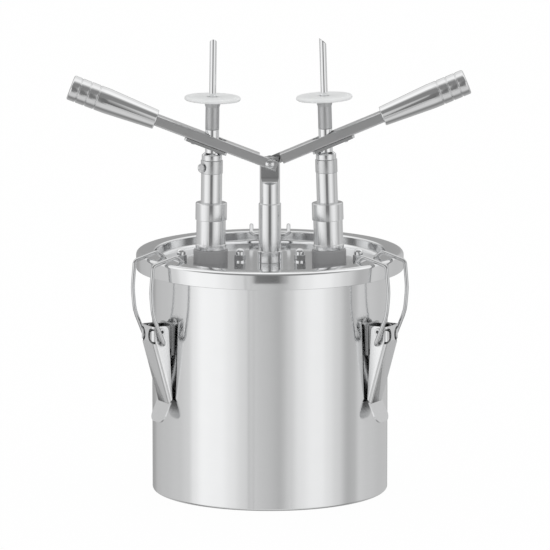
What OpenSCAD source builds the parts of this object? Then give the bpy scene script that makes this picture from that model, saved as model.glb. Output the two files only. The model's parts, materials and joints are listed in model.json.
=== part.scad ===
// Donut filler: a lidded metal container with two lever pumps, each ending in an upright filling needle.
// Origin at the middle of the container's flat bottom. X runs left to right, the front is at -Y, Z is up.
// All lengths are in millimetres and all angles in degrees.

/* [Container] */
// Outside diameter of the container
container_d = 240; // [236:1:270]
// Height of the container to the top of its mouth flange
container_h = 240.6; // [236:0.2:260]
// Thickness of the container's sheet
container_t = 1.2; // [1:0.1:1.6]
// Outside radius of the rounded edge round the bottom
foot_edge_r = 2.5; // [2:0.5:8]
// Reach of the mouth flange beyond the wall
mouth_flange_w = 11; // [10:0.5:12]
// Radius of the bead rolled round the mouth flange
mouth_bead_r = 1.6; // [1:0.1:2]

/* [Lid] */
// Thickness of the lid's sheet
lid_t = 1.2; // [1:0.1:1.4]
// Thickness of the flat sealing ring under the lid's rim
gasket_t = 4; // [3:0.5:5]
// Width of the flat sealing ring
gasket_w = 10; // [8:0.5:10]
// Depth of the sunken deck below the rim
recess_depth = 11.6; // [8:0.2:14]
// Distance from the container's outside in to the recess wall
recess_inset = 3; // [3:0.1:4]
// Fillet between the deck and the recess wall
recess_fillet_r = 3; // [2:0.5:5]
// Rounding where the recess wall turns over into the rim
recess_edge_r = 1.6; // [1.4:0.1:2]
// Reach of the lid's skirt beyond the container
skirt_reach = 16; // [15:0.5:18]
// Height of the rim and skirt together
skirt_h = 17.6; // [10:0.2:20]
// Rounding of the rim's outer edge
rim_edge_r = 4; // [2:0.5:4.5]

/* [Centre post] */
// Height of the lever pivot above the deck
pivot_h = 101.3; // [98:0.1:106]
// Diameter of the collar that stands on the deck
post_collar_d = 26.3; // [24:0.1:30]
// Height of that collar
post_collar_h = 11.4; // [8:0.1:15]
// Diameter of the post's lower shaft
post_low_d = 22.8; // [20:0.1:24]
// Height of the step between the two shafts
post_step_h = 59.8; // [40:0.1:75]
// Diameter of the post's upper shaft
post_high_d = 20.5; // [18:0.1:21]
// Height of the post above the deck
post_h = 107.3; // [106:0.1:112]
// Thickness of the flat tang between the levers
tang_t = 10; // [8:0.1:11]
// Height at which the tang's flats begin to run out
tang_flat_h = 87.8; // [85:0.2:92]
// Radius of the run-out below the flats
tang_runout_r = 8; // [5:0.5:10]
// Diameter of the pivot pin
pivot_pin_d = 6; // [5:0.1:7]
// Diameter of the pin's domed heads
pivot_head_d = 9.2; // [8:0.1:10]
// Height of the pin's domed heads
pivot_head_h = 2.5; // [2:0.1:3]

/* [Levers] */
// Slope of the left lever at rest
left_rest_angle = 21; // [20:0.1:24]
// Slope of the right lever at rest
right_rest_angle = 22.7; // [20:0.1:24]
// Height of the lever's tube
bar_h = 10.5; // [9:0.1:11]
// Depth of the lever's tube, front to back
bar_w = 18; // [17.6:0.1:20]
// Wall of the lever's tube
bar_t = 1.2; // [1:0.1:1.5]
// Outside radius of the tube's long edges
bar_edge_r = 1.6; // [1.5:0.1:2]
// Distance from the pivot to the square end of the tube
bar_start = 13; // [12.5:0.1:14]
// Reach of the flat ear beyond the pivot
ear_reach = 7.7; // [5:0.1:8]
// Distance from the pivot to the grip
grip_start = 123.5; // [118:0.5:132]
// Length of the grip
grip_l = 92.5; // [80:0.5:110]
// Diameter of the grip's straight outer part
grip_big_d = 25.8; // [22:0.1:28]
// Diameter of the grip at the tube
grip_small_d = 20; // [17:0.1:22]
// Length of the grip's tapered part, from the tube
grip_taper_l = 53; // [20:1:60]
// Distances of the grip's grooves from its outer end
groove_places = [9, 19, 29]; // [5:1:60]
// Width of a groove
groove_w = 1.4; // [1:0.1:2]
// Depth of a groove
groove_depth = 0.8; // [0.4:0.1:1.2]
// Thickness of the wear plate under the tube
plate_t = 3; // [2:0.1:3.4]
// Reach of the wear plate beyond the slot's inner end
plate_inner_l = 4.6; // [3:0.1:8]
// Reach of the wear plate beyond the slot's outer end
plate_outer_l = 16.7; // [13:0.1:20]
// Distance from the slot's outer end to the wear plate's rivet
rivet_gap = 7.2; // [6:0.1:8.5]

/* [Pumps] */
// Distance of each pump from the middle between the post's collar and the recess wall, towards the post
pump_offset = 3.3; // [2.5:0.1:4]
// Inward lean of the left pump, as it stands in its bolted seat
left_lean = 0.8; // [0:0.05:2]
// Inward lean of the right pump, as it stands in its bolted seat
right_lean = 1.75; // [0:0.05:2]
// Outside diameter of the pump cylinder
cylinder_d = 29.8; // [29:0.1:30.4]
// Bore of the pump cylinder
cylinder_bore = 26; // [25:0.1:26.6]
// Height of the pump cylinder above the deck
cylinder_up = 53; // [50:0.5:55]
// Gap between the pump cylinder's foot and the container's bottom
cylinder_foot_gap = 18.8; // [12:0.2:24]
// Diameter of the plastic base ring on the deck
base_ring_d = 35; // [33:0.5:37]
// Height of the base ring
base_ring_h = 12.5; // [8:0.5:16]
// Height of the bead above the base ring
bead_h = 5.7; // [4:0.1:6]
// Reach of the bead beyond the cylinder
bead_reach = 0.6; // [0.4:0.1:1.4]
// Height above the deck at which the guide collar starts
collar_at = 43; // [40:0.5:46]
// Height above the deck at which the guide collar ends
collar_top = 60.8; // [60:0.1:63]
// Diameter of the guide collar
collar_d = 31.9; // [31.4:0.1:33]
// Diameter of the sliding barrel
barrel_d = 21.4; // [20.4:0.1:21.6]
// Length of the barrel below the dose ring
barrel_l = 70; // [66:0.5:72]
// Diameter of the dose ring that stops the stroke
stop_ring_d = 22.4; // [22:0.1:24]
// Height of the dose ring
stop_ring_h = 13.5; // [10:0.1:14]
// Distance from the crown's centre down to the dose ring
stop_ring_drop = 9.25; // [9:0.05:9.5]
// Diameter of the domed cap that the lever presses
cap_d = 20.6; // [19:0.1:21]
// Radius of the domed cap's crown
crown_r = 14; // [13.5:0.1:14.6]
// Diameter of the piston rod
rod_d = 14; // [13:0.1:14.2]
// Bore of the piston rod
rod_bore = 6.8; // [5:0.1:7]
// Distance from the crown's centre up to the rod's shoulder
rod_up = 35.7; // [34:0.1:40]
// Gap between the piston and the ball's stop pin at the end of the stroke
piston_stop_gap = 3; // [1:0.5:6]
// Height of the piston
piston_h = 14; // [12:0.5:16]
// Diameter of the valve ball
ball_d = 15; // [14:0.1:16]
// Lift of the valve ball
ball_lift = 3; // [2:0.1:4]
// Diameter of the return spring's wire
spring_wire_d = 2.2; // [1.6:0.1:2.4]
// Diameter of the return spring at the middle of its wire
spring_d = 20; // [19.4:0.1:20.6]
// Number of turns of the return spring
spring_turns = 9; // [6:1:10]

/* [Needles] */
// Diameter of the needle nut
nut_d = 14.1; // [13:0.1:15]
// Length of the needle nut, up to the disc
nut_l = 29.5; // [26:0.1:32]
// Diameter of the nut's flared top
nut_top_d = 16.4; // [15:0.1:18]
// Diameter of the needle
needle_d = 7; // [6:0.1:7]
// Bore of the needle
needle_bore = 5; // [4:0.1:5.4]
// Distance from the crown's centre up to the needle's tip
needle_tip = 127.8; // [115:1:140]
// Slope of the needle's cut
needle_cut = 40; // [30:1:50]
// Diameter of the disc that sets the filling depth
disc_d = 57.2; // [50:0.2:60]
// Thickness of that disc
disc_t = 4.1; // [3:0.1:5]
// Diameter of the disc's hole
disc_hole_d = 11.2; // [11:0.1:12]
// Tilt of the left disc on its nut
left_disc_tilt = 0.5; // [0:0.1:1.4]
// Tilt of the right disc on its nut
right_disc_tilt = 0.7; // [0:0.1:1.4]

/* [Latches] */
// Directions of the three latches round the container
latch_angles = [210, 330, 90]; // [0:1:359]
// Width of the latch lever
latch_w = 27; // [26:0.5:28]
// Thickness of the latch lever's sheet
latch_t = 1.5; // [1.2:0.1:1.6]
// Drop from the lid's rim to the latch lever's hinge
hinge_drop = 70.3; // [68:0.1:74]
// Distance of the hinge from the container's wall
hinge_out = 13.3; // [13:0.1:14]
// Distance of the latch lever's face from the container's wall
face_out = 23; // [22.6:0.1:24]
// Height of the latch lever's top above its hinge
face_up = 5.5; // [5:0.1:5.6]
// Drop from the hinge to the bend in the face
face_bend_drop = 9.5; // [8:0.5:12]
// Drop from the hinge to the flared tab
tab_drop = 75; // [60:1:85]
// Distance of the face from the container's wall where the tab begins
tab_out = 4.5; // [4:0.1:8]
// Length of the flared tab
tab_l = 21; // [15:0.5:25]
// Outward slope of the tab from the vertical
tab_angle = 24.6; // [15:0.1:40]
// Radius of the tab's corners
tab_corner_r = 9; // [4:0.5:12]
// Diameter of the bail's wire
wire_d = 4; // [3.6:0.1:4]
// Distance between the middles of the bail's two legs
bail_w = 38.4; // [37:0.1:40]
// Drop from the hinge to the bail's pivot
bail_drop = 12.5; // [12:0.1:13]

/* [Fasteners] */
// Thread diameter of the studs
stud_d = 6; // [5:0.1:6]
// Distance between the two studs of a pump
stud_spacing = 60; // [58:0.5:62]
// Width across the flats of the cap nuts
cap_nut_af = 10; // [9.5:0.1:11]
// Height of the cap nuts
cap_nut_h = 12; // [11:0.1:13]
// Diameter of the washers under the cap nuts
washer_d = 12.5; // [12:0.1:14]
// Thickness of those washers
washer_t = 1.4; // [1:0.1:2]
// Thread diameter of the post's stud
post_stud_d = 10; // [8:0.1:12]

/* [Hidden] */
$fn = 64;
left = -1;
right = 1;

// Overrun of every cutter beyond what it cuts
cut = 2;
// Running clearance between a shaft and its hole, on the radius
run = 0.05;
// Gap beside a part that turns or slides
side_gap = 0.3;
// Clearance of a bolt or stud in its hole, on the radius
bolt_gap = 0.3;
// Small chamfer of turned parts
chamfer = 0.5;

// Container and lid
container_r = container_d / 2;
rim_z = container_h + gasket_t + lid_t;
deck_z = rim_z - recess_depth;
deck_under_z = deck_z - lid_t;
recess_r = container_r - recess_inset;
skirt_r = container_r + skirt_reach;
gasket_inset = 1;

// Pumps stand on the deck between the post's collar and the recess wall's fillet
pump_x = (post_collar_d / 2 + recess_r - recess_fillet_r) / 2 - pump_offset;

// Studs, washers and cap nuts
stud_r = stud_d / 2;
cap_nut_r = cap_nut_af / 2 / cos(30);
cap_hex_h = 5.5;
cap_dome_r = 4.75;
cap_bore_h = 9;
stud_end_gap = 1;
stud_places = [for (side = [left, right], end = [-1, 1]) side * pump_x + end * stud_spacing / 2];

// Centre post
pivot_z = deck_z + pivot_h;
pivot_r = pivot_pin_d / 2;
post_stud_r = post_stud_d / 2;
post_stud_l = 16;
post_nut_af = 17;
post_nut_h = 8;
post_nut_flange_d = 24;
post_nut_flange_t = 2;
pivot_dimple_r = 1.2;
pivot_washer_d = 13;

// Levers
plate_under = bar_h / 2 + plate_t;
slot_r = rod_d / 2 + side_gap + side_gap;
slot_end_gap = 0.6;
spigot_l = 18;
spigot_gap = 0.1;
grip_edge = 1.2;
rivet_r = 2.5;
rivet_head_r = 3.8;
rivet_head_h = 2;
rivet_inner_r = 3.4;
rivet_inner_h = 1;
plate_corner_r = 2;

// Pumps
cylinder_r = cylinder_d / 2;
bore_r = cylinder_bore / 2;
barrel_r = barrel_d / 2;
rod_r = rod_d / 2;
crown_gap = 0.1;
neck_r = 9;
neck_into_cap = 3;
seal_r = 1.9;
seal_slack = 0.1;
shoulder_r = 18;
shoulder_t = 3;
flange_gasket_t = 2;
flange_gasket_r = 22;
flange_t = 4;
flange_end_r = 9;
guide_down = 23;
guide_wall_gap = 0.1;
spring_seat_drop = 70;
spring_seat_t = 5;
valve_seat_h = 8;
valve_hole_r = 6;
stop_pin_r = 1;
spigot_r = 4.9;
rod_spigot_l = 13.8;
bead_at = base_ring_h;
cylinder_down = deck_z - container_t - cylinder_foot_gap;

// Needles
needle_flange_h = 3;
nut_flare_h = 3.7;
nut_flare_drop = 3;
boss_h = 1.5;
boss_r = 5.4;

// Thumb screws of the dose rings, the left one at the front and the right one at the back
left_thumb_angle = 218;
right_thumb_angle = 90;
thumb_up = 6.2;
thumb_r = 4.4;
thumb_h = 2.8;
thumb_gap = 0.9;
thumb_thread_r = 1.5;
thumb_dish_r = 3;
thumb_dish_h = 0.6;

// Latches
hinge_z = rim_z - hinge_drop;
wire_r = wire_d / 2;
hinge_r = container_r + hinge_out;
face_r = container_r + face_out;
tab_r = container_r + tab_out;
latch_edge_r = 4;
latch_bend_z = hinge_z - face_bend_drop;
tab_z = hinge_z - tab_drop;
face_slope = atan2(face_r - tab_r, latch_bend_z - tab_z);
latch_pin_r = 2.5;
latch_pin_bore = 1.7;
latch_pin_head_r = 3.4;
latch_pin_head_t = 1;
side_back_top = 5.4;
side_back_low = 1.3;
side_back_up = 0.5;
side_back_drop = 70.1;
side_corner_r = 5;
tab_lap = 2;
relief_r = 8;
relief_w = 2.4;
relief_drop = 4;
relief_tip_gap = 0.4;
bracket_t = 1.6;
bracket_half_w = 11.5;
bracket_up = 6.5;
bracket_down = 25.5;
ear_in = 9;
ear_r = 4.8;
ear_root_drop = 20;
bail_pin_in = 11.2;
crossbar_bend_r = 6;
pin_bend_r = 4;
bend_lap = 0.2;
bend_thinning = 0.01;

// Hook of a bail in the lid's recess, and its crest over the recess edge
hook_in = 7.6;
hook_down = 3;
crest_out = 2.4;
crest_up = 5.8;
crest_bend_r = 5;
// Brow, arm and elbow of a bail outside the skirt
brow_out = 10;
brow_down = 1.2;
brow_bend_r = 5;
arm_out = 12.6;
arm_down = 28.6;
arm_bend_r = 60;
elbow_out = 10.4;
elbow_down = 51.6;
elbow_bend_r = 40;

// Points along a bail's leg, as distance from the axis and height, and the bend at each
bail_route = [
    [recess_r - hook_in, rim_z - hook_down, 0],
    [recess_r + crest_out, rim_z + crest_up, crest_bend_r],
    [skirt_r + brow_out, rim_z - brow_down, brow_bend_r],
    [skirt_r + arm_out, rim_z - arm_down, arm_bend_r],
    [skirt_r + elbow_out, rim_z - elbow_down, elbow_bend_r],
    [hinge_r, hinge_z - bail_drop, 0]];

function side_lean(side) = side < 0 ? left_lean : right_lean;
function rest_angle(side) = side < 0 ? left_rest_angle : right_rest_angle;
function disc_tilt(side) = side < 0 ? left_disc_tilt : right_disc_tilt;
function thumb_angle(side) = side < 0 ? left_thumb_angle : right_thumb_angle;

// Height of the crown's centre along the leaning pump, where the lever's wear plate rests on it
function crown_h(side) =
    (pump_x * sin(rest_angle(side)) + pivot_h * cos(rest_angle(side)) - crown_r - plate_under - crown_gap)
    / cos(rest_angle(side) - side_lean(side));

// Travel of the plunger until the dose ring meets the guide collar
function stroke(side) = crown_h(side) - stop_ring_drop - collar_top - side_gap;

// Slope of a lever when its plunger is down, with the plate's slot straddling the crown
press_reach = sqrt(crown_r * crown_r - slot_r * slot_r) + plate_under + slot_end_gap;
function low_x(side) = pump_x - (crown_h(side) - stroke(side)) * sin(side_lean(side));
function low_z(side) = (crown_h(side) - stroke(side)) * cos(side_lean(side)) - pivot_h;
function low_angle(side) =
    asin(press_reach / norm([low_x(side), low_z(side)])) + atan2(low_z(side), low_x(side));

// Where the rod crosses the lever, at a height above the tube's middle and at a slope of the lever
function rod_at(side, up, slope) =
    ((pump_x - pivot_h * tan(side_lean(side))) * cos(side_lean(side)) + up * sin(slope - side_lean(side)))
    / cos(slope - side_lean(side));
rod_crossings = [for (side = [left, right], up = [-plate_under, bar_h / 2],
    slope = [rest_angle(side), low_angle(side)]) rod_at(side, up, slope)];
rod_spread = rod_r / cos(max(left_rest_angle, right_rest_angle));
slot_from = min(rod_crossings) - rod_spread - slot_end_gap;
slot_to = max(rod_crossings) + rod_spread + slot_end_gap;

// Wear plate and its rivet, from the slot
plate_start = slot_from - plate_inner_l;
plate_l = slot_to + plate_outer_l - plate_start;
rivet_at = slot_to + rivet_gap;

// Shapes shared by several parts

module tube(outer_r, inner_r, height) {
    difference() {
        cylinder(r = outer_r, h = height);
        translate([0, 0, -cut]) cylinder(r = inner_r, h = height + 2 * cut);
    }
}

module lathe(points) {
    rotate_extrude() polygon(points);
}

module hexagon(across_corners_r, height) {
    cylinder(r = across_corners_r, h = height, $fn = 6);
}

// Rectangle with round corners, centred
module rounded_rect(size_x, size_y, corner_r) {
    square([size_x - 2 * corner_r, size_y], center = true);
    square([size_x, size_y - 2 * corner_r], center = true);
    for (x = [-1, 1], y = [-1, 1])
        translate([x * (size_x / 2 - corner_r), y * (size_y / 2 - corner_r)]) circle(corner_r);
}

// Quarter of a bent sheet's section, in the quadrant that the two signs name
module quarter_bend(outer_r, thickness, sign_x, sign_y) {
    intersection() {
        difference() {
            circle(outer_r);
            circle(outer_r - thickness);
        }
        translate([sign_x < 0 ? -outer_r : 0, sign_y < 0 ? -outer_r : 0]) square(outer_r);
    }
}

// Spherical cap of a given base radius and height, standing on z = 0
module dome(base_r, height) {
    ball_r = (base_r * base_r + height * height) / (2 * height);
    intersection() {
        translate([0, 0, height - ball_r]) sphere(ball_r);
        cylinder(r = base_r, h = height);
    }
}

// Container

module container_section(outer_r, edge_r) {
    square([outer_r - edge_r, container_h]);
    translate([0, edge_r]) square([outer_r, container_h - edge_r]);
    translate([outer_r - edge_r, edge_r]) circle(edge_r);
}

module container() {
    color("silver") rotate_extrude($fn = 128) {
        difference() {
            container_section(container_r, foot_edge_r);
            translate([0, container_t])
                container_section(container_r - container_t, foot_edge_r - container_t);
        }
        translate([container_r - container_t, container_h - container_t])
            square([mouth_flange_w + container_t, container_t]);
        translate([container_r + mouth_flange_w, container_h - mouth_bead_r]) circle(mouth_bead_r);
    }
}

// Lid

module lid_section() {
    translate([0, deck_under_z]) square([recess_r - recess_fillet_r, lid_t]);
    translate([recess_r - recess_fillet_r, deck_z + recess_fillet_r])
        quarter_bend(recess_fillet_r + lid_t, lid_t, 1, -1);
    translate([recess_r, deck_z + recess_fillet_r])
        square([lid_t, recess_depth - recess_fillet_r - recess_edge_r]);
    translate([recess_r + recess_edge_r, rim_z - recess_edge_r]) quarter_bend(recess_edge_r, lid_t, -1, 1);
    translate([recess_r + recess_edge_r, rim_z - lid_t])
        square([skirt_r - rim_edge_r - recess_r - recess_edge_r, lid_t]);
    translate([skirt_r - rim_edge_r, rim_z - rim_edge_r]) quarter_bend(rim_edge_r, lid_t, 1, 1);
    translate([skirt_r - lid_t, rim_z - skirt_h]) square([lid_t, skirt_h - rim_edge_r]);
}

module lid() {
    color("gainsboro") difference() {
        rotate_extrude($fn = 128) lid_section();
        for (x = stud_places)
            translate([x, 0, deck_under_z - cut]) cylinder(r = stud_r + bolt_gap, h = lid_t + 2 * cut);
        for (side = [left, right]) translate([side * pump_x, 0, deck_under_z - cut])
            cylinder(r = cylinder_r + bolt_gap + bolt_gap, h = lid_t + 2 * cut);
        translate([0, 0, deck_under_z - cut]) cylinder(r = post_stud_r + bolt_gap, h = lid_t + 2 * cut);
    }
}

module lid_gasket() {
    color("dimgray") translate([0, 0, container_h])
        tube(container_r + gasket_inset + gasket_w, container_r + gasket_inset, gasket_t, $fn = 128);
}

// Centre post and its fastening

module centre_post() {
    top_z = deck_z + post_h;
    flat_z = deck_z + tang_flat_h;
    color("silver") difference() {
        lathe([[0, deck_z - post_stud_l], [post_stud_r - chamfer, deck_z - post_stud_l],
            [post_stud_r, deck_z - post_stud_l + chamfer], [post_stud_r, deck_z],
            [post_collar_d / 2, deck_z],
            [post_collar_d / 2, deck_z + post_collar_h - chamfer],
            [post_collar_d / 2 - chamfer, deck_z + post_collar_h], [post_low_d / 2, deck_z + post_collar_h],
            [post_low_d / 2, deck_z + post_step_h - chamfer],
            [post_low_d / 2 - chamfer, deck_z + post_step_h],
            [post_high_d / 2, deck_z + post_step_h], [post_high_d / 2, top_z - chamfer],
            [post_high_d / 2 - chamfer, top_z], [0, top_z]]);
        for (y = [-1, 1]) {
            translate([-post_high_d, y > 0 ? tang_t / 2 : -tang_t / 2 - post_high_d, flat_z])
                cube([2 * post_high_d, post_high_d, post_h]);
            translate([-post_high_d, y * (tang_t / 2 + tang_runout_r), flat_z]) rotate([0, 90, 0])
                cylinder(r = tang_runout_r, h = 2 * post_high_d);
        }
        translate([0, post_high_d, pivot_z]) rotate([90, 0, 0])
            cylinder(r = pivot_r + run, h = 2 * post_high_d);
    }
}

module post_nut() {
    color("silver") translate([0, 0, deck_under_z]) mirror([0, 0, 1]) difference() {
        union() {
            cylinder(d = post_nut_flange_d, h = post_nut_flange_t);
            hexagon(post_nut_af / 2 / cos(30), post_nut_flange_t + post_nut_h);
        }
        translate([0, 0, -cut])
            cylinder(r = post_stud_r + run, h = post_nut_flange_t + post_nut_h + 2 * cut);
    }
}

module pivot_pin() {
    half_l = bar_w / 2 + run;
    color("gainsboro") translate([0, 0, pivot_z]) rotate([90, 0, 0]) difference() {
        union() {
            translate([0, 0, -half_l]) cylinder(r = pivot_r, h = 2 * half_l);
            for (end = [0, 1]) mirror([0, 0, end]) translate([0, 0, half_l])
                dome(pivot_head_d / 2, pivot_head_h);
        }
        translate([0, 0, half_l + pivot_head_h]) sphere(pivot_dimple_r);
    }
}

module pivot_washers() {
    thickness = bar_w / 2 - bar_t - tang_t / 2 - run;
    color("silver") for (y = [-1, 1]) translate([0, y * tang_t / 2, pivot_z]) rotate([-y * 90, 0, 0])
        tube(pivot_washer_d / 2, pivot_r + run, thickness);
}

// Studs' cap nuts and washers

module cap_nut() {
    color("gainsboro") difference() {
        union() {
            intersection() {
                hexagon(cap_nut_r, cap_hex_h);
                union() {
                    cylinder(r = cap_nut_r + cut, h = cap_hex_h - chamfer);
                    translate([0, 0, cap_hex_h - chamfer])
                        cylinder(r1 = cap_nut_r, r2 = cap_dome_r, h = chamfer);
                }
            }
            cylinder(r = cap_dome_r, h = cap_nut_h - cap_dome_r);
            translate([0, 0, cap_nut_h - cap_dome_r]) sphere(cap_dome_r);
        }
        translate([0, 0, -cut]) cylinder(r = stud_r + run, h = cap_bore_h + cut);
    }
}

module cap_nuts() {
    for (x = stud_places) translate([x, 0, deck_z + washer_t]) cap_nut();
}

module cap_washers() {
    color("gainsboro") for (x = stud_places) translate([x, 0, deck_z])
        tube(washer_d / 2, stud_r + run, washer_t);
}

// Pumps, each in the leaning frame that stands on the deck

module pump_frame(side) {
    translate([side * pump_x, 0, deck_z]) rotate([0, -side * side_lean(side), 0]) children();
}

// Level slab beside a pump, between two depths below the deck
module level_slab(side, from_depth, to_depth) {
    half = cylinder_d + cut;
    translate([side * pump_x - half, -half, deck_z - to_depth])
        cube([2 * half, 2 * half, to_depth - from_depth]);
}

module base_ring(side) {
    color("gray") difference() {
        pump_frame(side) difference() {
            lathe([[0, -cut], [base_ring_d / 2, -cut], [base_ring_d / 2, base_ring_h - chamfer],
                [base_ring_d / 2 - chamfer, base_ring_h], [0, base_ring_h]]);
            translate([0, 0, -2 * cut]) cylinder(r = cylinder_r + run, h = base_ring_h + 3 * cut);
        }
        level_slab(side, 0, 3 * cut);
    }
}

module pump_cylinder(side) {
    shoulder_top = lid_t + flange_gasket_t;
    color("silver") difference() {
        union() {
            pump_frame(side) lathe([[0, -cylinder_down], [cylinder_r, -cylinder_down],
                [cylinder_r, bead_at], [cylinder_r + bead_reach, bead_at + chamfer],
                [cylinder_r + bead_reach, bead_at + bead_h - chamfer], [cylinder_r, bead_at + bead_h],
                [cylinder_r, cylinder_up], [0, cylinder_up]]);
            intersection() {
                pump_frame(side) translate([0, 0, -cylinder_d]) cylinder(r = shoulder_r, h = cylinder_d);
                level_slab(side, shoulder_top, shoulder_top + shoulder_t);
            }
        }
        pump_frame(side) translate([0, 0, -cylinder_down - cut])
            cylinder(r = bore_r, h = cylinder_down + cylinder_up + 2 * cut);
        pump_frame(side) stop_pin_shape(stop_pin_r + run, cut);
    }
}

module guide_collar(side) {
    color("gainsboro") pump_frame(side) lathe([[cylinder_r + run, collar_at],
        [collar_d / 2, collar_at], [collar_d / 2, collar_top - chamfer],
        [collar_d / 2 - chamfer, collar_top],
        [barrel_r + run + 2 * chamfer, collar_top], [barrel_r + run, collar_top - 2 * chamfer],
        [barrel_r + run, cylinder_up - guide_down], [bore_r - guide_wall_gap, cylinder_up - guide_down],
        [bore_r - guide_wall_gap, cylinder_up + run], [cylinder_r + run, cylinder_up + run]]);
}

module spring_seats() {
    color("silver") for (side = [left, right]) pump_frame(side) translate([0, 0, -spring_seat_drop])
        tube(bore_r - run, rod_r + run, spring_seat_t);
}

module valve_seats() {
    color("silver") for (side = [left, right]) pump_frame(side) translate([0, 0, -cylinder_down])
        tube(bore_r - run, valve_hole_r, valve_seat_h);
}

// Height of the valve ball's centre along the pump, resting on the edge of its seat
ball_h = valve_seat_h - cylinder_down + sqrt(pow(ball_d / 2 + run, 2) - valve_hole_r * valve_hole_r);
stop_pin_h = ball_h + ball_d / 2 + ball_lift + side_gap + stop_pin_r;

// Length of the piston rod below the crown's centre, which ends its stroke just above the stop pin
rod_down = collar_top + side_gap + stop_ring_drop - stop_pin_h - stop_pin_r - piston_stop_gap;

module stop_pin_shape(radius, beyond) {
    translate([0, cylinder_r + beyond, stop_pin_h]) rotate([90, 0, 0])
        cylinder(r = radius, h = cylinder_d + 2 * beyond);
}

module ball_stop_pins() {
    color("silver") for (side = [left, right]) pump_frame(side) stop_pin_shape(stop_pin_r, 0);
}

module valve_ball(side) {
    color("silver") pump_frame(side) translate([0, 0, ball_h]) sphere(d = ball_d);
}

module flange_gaskets() {
    color("dimgray") for (side = [left, right])
        translate([side * pump_x, 0, deck_under_z - flange_gasket_t])
            tube(flange_gasket_r, cylinder_r + bolt_gap + bolt_gap, flange_gasket_t);
}

module pump_flange() {
    stud_l = flange_t + shoulder_t + flange_gasket_t + lid_t + washer_t + cap_bore_h - stud_end_gap;
    difference() {
        union() {
            cylinder(r = flange_gasket_r, h = flange_t);
            translate([-stud_spacing / 2, -flange_end_r, 0])
                cube([stud_spacing, 2 * flange_end_r, flange_t]);
            for (end = [-1, 1]) translate([end * stud_spacing / 2, 0, 0]) {
                cylinder(r = flange_end_r, h = flange_t);
                cylinder(r = stud_r, h = stud_l);
            }
        }
        translate([0, 0, -cut]) cylinder(r = cylinder_r + bolt_gap + bolt_gap, h = flange_t + 2 * cut);
    }
}

module pump_flanges() {
    depth = lid_t + flange_gasket_t + shoulder_t + flange_t;
    color("silver") for (side = [left, right]) translate([side * pump_x, 0, deck_z - depth]) pump_flange();
}

// Plungers, placed along the pump from the centre of the domed cap's crown

module plunger_frame(side) {
    pump_frame(side) translate([0, 0, crown_h(side)]) children();
}

module barrel(side) {
    neck_top = stop_ring_h - stop_ring_drop + neck_into_cap;
    color("silver") plunger_frame(side) difference() {
        lathe([[0, -stop_ring_drop - barrel_l], [barrel_r - chamfer, -stop_ring_drop - barrel_l],
            [barrel_r, chamfer - stop_ring_drop - barrel_l], [barrel_r, -stop_ring_drop],
            [neck_r, -stop_ring_drop], [neck_r, neck_top], [0, neck_top]]);
        translate([0, 0, -stop_ring_drop - barrel_l - cut])
            cylinder(r = rod_r + run, h = barrel_l + stop_ring_drop + neck_top + 2 * cut);
    }
}

module dose_ring(side) {
    color("darkgray") plunger_frame(side) translate([0, 0, -stop_ring_drop]) difference() {
        lathe([[0, 0], [stop_ring_d / 2 - chamfer, 0], [stop_ring_d / 2, chamfer],
            [stop_ring_d / 2, stop_ring_h - chamfer], [stop_ring_d / 2 - chamfer, stop_ring_h],
            [0, stop_ring_h]]);
        translate([0, 0, -cut]) cylinder(r = neck_r + run, h = stop_ring_h + 2 * cut);
        translate([0, 0, thumb_up]) rotate([0, 90, thumb_angle(side)])
            cylinder(r = thumb_thread_r + run, h = stop_ring_d);
    }
}

module thumb_screw(side) {
    head_at = stop_ring_d / 2 + thumb_gap;
    color("silver") plunger_frame(side) translate([0, 0, thumb_up - stop_ring_drop])
        rotate([0, 90, thumb_angle(side)]) difference() {
            union() {
                translate([0, 0, neck_r + run]) cylinder(r = thumb_thread_r, h = head_at - neck_r - run);
                translate([0, 0, head_at]) lathe([[0, 0], [thumb_r - chamfer, 0], [thumb_r, chamfer],
                    [thumb_r, thumb_h - chamfer], [thumb_r - chamfer, thumb_h], [0, thumb_h]]);
            }
            translate([0, 0, head_at + thumb_h - thumb_dish_h]) cylinder(r1 = thumb_dish_r - thumb_dish_h,
                r2 = thumb_dish_r + thumb_dish_h, h = 2 * thumb_dish_h);
        }
}

module domed_cap(side) {
    cap_at = stop_ring_h - stop_ring_drop;
    color("gainsboro") plunger_frame(side) difference() {
        intersection() {
            sphere(crown_r);
            translate([0, 0, cap_at]) cylinder(r = cap_d / 2, h = crown_r);
        }
        cylinder(r = neck_r + run, h = cap_at + neck_into_cap + run);
        cylinder(r = rod_r + run, h = crown_r + cut);
    }
}

module piston_rod(side) {
    foot_top = piston_h - rod_down;
    color("gainsboro") plunger_frame(side) difference() {
        lathe([[0, -rod_down], [spigot_r, -rod_down], [spigot_r, foot_top], [rod_r, foot_top],
            [rod_r, rod_up], [spigot_r, rod_up], [spigot_r, rod_up + rod_spigot_l],
            [0, rod_up + rod_spigot_l]]);
        translate([0, 0, -rod_down - cut])
            cylinder(d = rod_bore, h = rod_down + rod_up + rod_spigot_l + 2 * cut);
    }
}

module piston(side) {
    groove_r = bore_r - run - 2 * seal_r - seal_slack;
    groove_h = 2 * (seal_r + seal_slack);
    color("silver") plunger_frame(side) translate([0, 0, -rod_down]) difference() {
        cylinder(r = bore_r - run, h = piston_h);
        translate([0, 0, -cut]) cylinder(r = spigot_r + run, h = piston_h + 2 * cut);
        translate([0, 0, (piston_h - groove_h) / 2]) tube(bore_r + cut, groove_r, groove_h);
    }
}

module piston_seal(side) {
    color("dimgray") plunger_frame(side) translate([0, 0, piston_h / 2 - rod_down])
        rotate_extrude() translate([bore_r - run - seal_r, 0]) circle(seal_r);
}

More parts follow.
